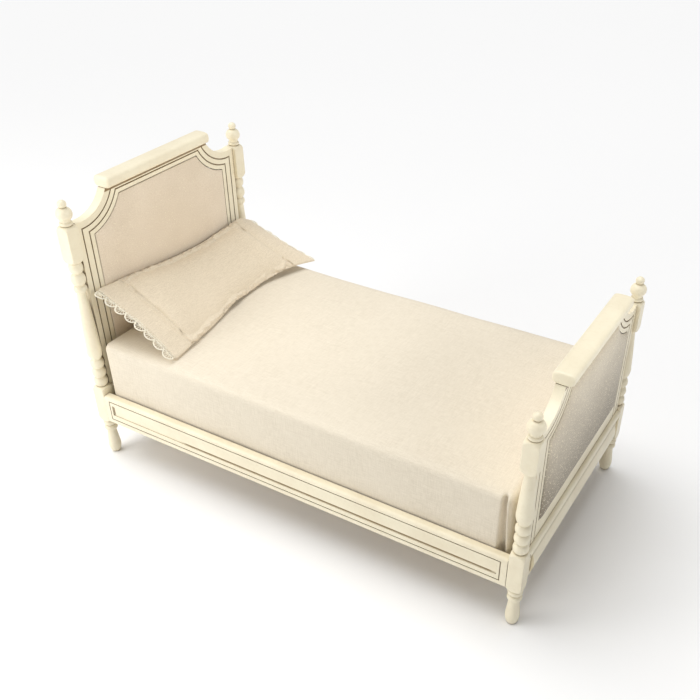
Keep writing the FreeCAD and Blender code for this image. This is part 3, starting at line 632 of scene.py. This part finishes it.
def settle(verts, faces, pinned, pressure, most_mm):
    """A stuffed cover after a short cloth simulation: its filling pushes it out from the pinned
    seams. It runs at twenty times the size, which suits the solver, and no point moves further
    than most_mm."""
    scale = 20 * MM
    scene = bpy.context.scene
    start = np.array(verts, float)
    mesh = bpy.data.meshes.new("settling")
    mesh.from_pydata([tuple(v) for v in start * scale], [], faces)
    cover = bpy.data.objects.new("settling", mesh)
    scene.collection.objects.link(cover)
    cover.vertex_groups.new(name="seams").add(pinned, 1.0, "REPLACE")
    cloth = cover.modifiers.new("cloth", "CLOTH")
    cloth.settings.quality = 5
    cloth.settings.mass = 0.1
    cloth.settings.bending_stiffness = 0.15
    cloth.settings.shrink_min = -0.09
    cloth.settings.vertex_group_mass = "seams"
    cloth.settings.use_pressure = True
    cloth.settings.uniform_pressure_force = pressure
    cloth.settings.effector_weights.gravity = 0
    cloth.point_cache.frame_start, cloth.point_cache.frame_end = 1, 20
    for step in range(1, 21):
        scene.frame_set(step)
    settled = cover.evaluated_get(bpy.context.evaluated_depsgraph_get()).data
    end = np.empty(len(start) * 3)
    settled.vertices.foreach_get("co", end)
    scene.frame_set(1)
    bpy.data.objects.remove(cover)
    bpy.data.meshes.remove(mesh)
    move = end.reshape(-1, 3) / scale - start
    length = np.linalg.norm(move, axis=1, keepdims=True)
    return start + move * np.minimum(1, most_mm / np.maximum(length, 1e-9))


def make_pillow():
    """The pillow: a soft lens between two stitched seams, with a flat flange at each end."""
    xs = np.concatenate([np.linspace(LEFT_EDGE, LEFT_SEAM, 14)[:-1],
                         np.linspace(LEFT_SEAM, RIGHT_SEAM, 130),
                         np.linspace(RIGHT_SEAM, RIGHT_EDGE, 14)[1:]])
    vs = (1 - np.cos(np.linspace(0, math.pi, 56))) / 2
    slope = np.array((0, -math.sin(PILLOW_SLOPE), math.cos(PILLOW_SLOPE)))
    rings = []
    for x in xs:
        layers = [[], []]
        for v in vs:
            spot = pillow_middle(x, v)
            puff = pillow_puff(x, v)
            soft = noise.noise(Vector((x * 0.07, v * 2.2, 1.5)))
            crease = noise.noise(Vector((x * 0.33, v * 3.0, 7.5)))
            edge = 0.08 + 0.3 * min(1.0, 60 * v * (1 - v))
            ripple = 0.0 if puff else 0.35 * noise.noise(Vector((x * 0.1, v * 5.0, 3.0)))
            lift = puff * (3.9 + 1.0 * soft) + 0.35 * crease * min(puff, 1 - puff) * 2
            drop = puff * (2.6 + 0.4 * soft)
            stitch = 0.33 * math.exp(-((x - LEFT_SEAM) / 0.55) ** 2) * min(1.0, 20 * v * (1 - v))
            layers[0].append(spot + slope * (edge - stitch + lift + ripple))
            layers[1].append(spot - slope * (edge - stitch + drop - ripple))
        rings.append(layers[0] + layers[1][::-1])
    verts, faces = closed_loft(rings)
    flat = [not pillow_puff(x, v) for x in xs for v in (*vs, *vs[::-1])] + [True, True]
    pinned = [i for i, is_flat in enumerate(flat) if is_flat]
    verts = settle(verts, faces, pinned, PRESSURE, MOST_MOVE)
    verts = [(vx, min(vy, BACK_LIMIT_Y), max(vz, MATTRESS_TOP + 0.35)) for vx, vy, vz in verts]
    pillow = add_piece("pillow_linen", verts, faces, "pillow", PILLOW,
                       ["pillowcase", "pillow_filling"])


make_pillow()


# ---------- crochet lace ----------

THREAD_RADIUS, SCALLOPS = 0.15, 8
OVER_MATTRESS = 47.0                        # lace nearer the middle than this rests on the mattress


def tube(points, radius, sides=6):
    """Points and faces of a thread along a line of points."""
    points = np.asarray(points, float)
    way = np.gradient(points, axis=0)
    way /= np.maximum(np.linalg.norm(way, axis=1), 1e-9)[:, None]
    rings = []
    side = np.array((0.0, 0.0, 1.0))
    for point, direction in zip(points, way):
        side = side - direction * (side @ direction)
        side /= max(np.linalg.norm(side), 1e-9)
        other = np.cross(direction, side)
        turn = np.linspace(0, 2 * math.pi, sides, endpoint=False)
        spread = np.outer(np.cos(turn), side) + np.outer(np.sin(turn), other)
        rings.append(point + radius * spread)
    return closed_loft(rings)


def lace_threads(scallops):
    """One edging's threads, as lines of (along, out): along in scallops, out in widths."""
    lines = [[(t, 0.02) for t in np.linspace(0, scallops, scallops * 8)],
             [(t, 0.3) for t in np.linspace(0, scallops, scallops * 8)],
             [(t, 0.16 + 0.14 * (1 if i % 2 else -1))
              for i, t in enumerate(np.linspace(0, scallops, scallops * 8 + 1))]]
    for n in range(scallops):
        for reach, wide in ((0.7, 0.5), (0.64, 0.45)):
            lines.append([(n + 0.5 - wide * math.cos(a), 0.3 + reach * math.sin(a))
                          for a in np.linspace(0, math.pi, 15)])
        for a in np.linspace(0.16, 0.84, 5):
            turn = a * math.pi
            lines.append([(n + 0.5 - (0.1 + 0.37 * t) * math.cos(turn),
                           0.3 + 0.66 * math.sin(turn) * t) for t in np.linspace(0, 1, 5)])
    return lines


def make_lace(name, node, edge_x, out, wide, flutter):
    """A scalloped edging sewn along one end of the pillowcase."""
    out = np.array(out, float) / np.linalg.norm(out)
    verts, faces = [], []
    for line in lace_threads(SCALLOPS):
        points = []
        for along, reach in line:
            v = 0.015 + 0.97 * along / SCALLOPS
            spot = pillow_middle(edge_x, v)
            wave = flutter * reach * noise.noise(Vector((v * 9.0, edge_x, 0)))
            points.append(spot + out * reach * wide + np.array((0, -0.48, 0.87)) * wave)
        more, quads = tube(points, THREAD_RADIUS)
        faces += [tuple(i + len(verts) for i in quad) for quad in quads]
        verts += more
    verts = [(vx, vy, max(vz, MATTRESS_TOP + 0.2) if abs(vx) < OVER_MATTRESS else vz)
             for vx, vy, vz in verts]
    add_piece(name, verts, faces, "pillow", THREAD, [node])


make_lace("lace_edging_left", "pillow_lace_left", LEFT_EDGE, (-1, 0, 0.05), 3.8, 0.7)
make_lace("lace_edging_right", "pillow_lace_right", RIGHT_EDGE, (0.9, 0.1, -0.4), 3.2, 0.7)


# ---------- floor, light and camera ----------

WARM_WHITE = (1.0, 0.985, 0.96)


def make_floor():
    mesh = bpy.data.meshes.new("floor")
    far = 6.0
    corners = [(-far, -far, 0), (far, -far, 0), (far, far, 0), (-far, far, 0)]
    mesh.from_pydata(corners, [], [(0, 1, 2, 3)])
    s = Shader("pale_floor", 0.9)
    tone = s.mix(s.noise(3.0, 2.0), srgb(252, 252, 252), srgb(254, 254, 254))
    mesh.materials.append(s.finish(tone))
    floor = bpy.data.objects.new("floor", mesh)
    bpy.context.scene.collection.objects.link(floor)


def add_light(kind, name, place, aim, watts, colour=(1, 1, 1), **settings):
    """A light at a place, turned to shine at another."""
    data = bpy.data.lights.new(name, kind)
    data.energy = watts
    data.color = colour
    for key, value in settings.items():
        setattr(data, key, value)
    light = bpy.data.objects.new(name, data)
    light.location = place
    light.visible_camera = False
    light.rotation_euler = (Vector(aim) - Vector(place)).to_track_quat("-Z", "Y").to_euler()
    bpy.context.scene.collection.objects.link(light)


def make_light():
    """An even sky, a broad light overhead, a small one beside the head, a spot on the board."""
    world = bpy.data.worlds.new("studio")
    world.use_nodes = True
    sky = world.node_tree.nodes["Background"]
    sky.inputs["Color"].default_value = (1.0, 1.0, 1.0, 1)
    sky.inputs["Strength"].default_value = 0.33
    bpy.context.scene.world = world
    add_light("SUN", "overhead", (0.0, 0.22, 0.8), (0, 0, 0), 2.1, angle=math.radians(55))
    add_light("AREA", "side", (-0.24, 0.20, 0.14), (-0.03, 0.03, 0.04), 0.32, WARM_WHITE,
              size=0.15)
    add_light("SPOT", "head", (0.0, -0.32, 0.24), (0.0, 0.09, 0.09), 2.3, WARM_WHITE,
              spot_size=math.radians(36), spot_blend=0.9, shadow_soft_size=0.06)


def make_camera():
    """A camera looking down from beside the foot, given by its place and axes."""
    place = (-0.24842, -0.15932, 0.24522)
    right = Vector((0.4930, -0.8698, 0.0174))
    up = Vector((0.5088, 0.3045, 0.8052))
    data = bpy.data.cameras.new("camera")
    data.lens = 46.16
    data.sensor_width = 36.0
    data.shift_x, data.shift_y = -0.0812, 0.0787
    data.clip_start, data.clip_end = 0.01, 50
    camera = bpy.data.objects.new("camera", data)
    turn = Matrix((right, up, right.cross(up))).transposed().to_4x4()
    camera.matrix_world = Matrix.Translation(place) @ turn
    bpy.context.scene.collection.objects.link(camera)
    bpy.context.scene.camera = camera


make_floor()
make_light()
make_camera()
bpy.context.scene.view_settings.view_transform = "Standard"
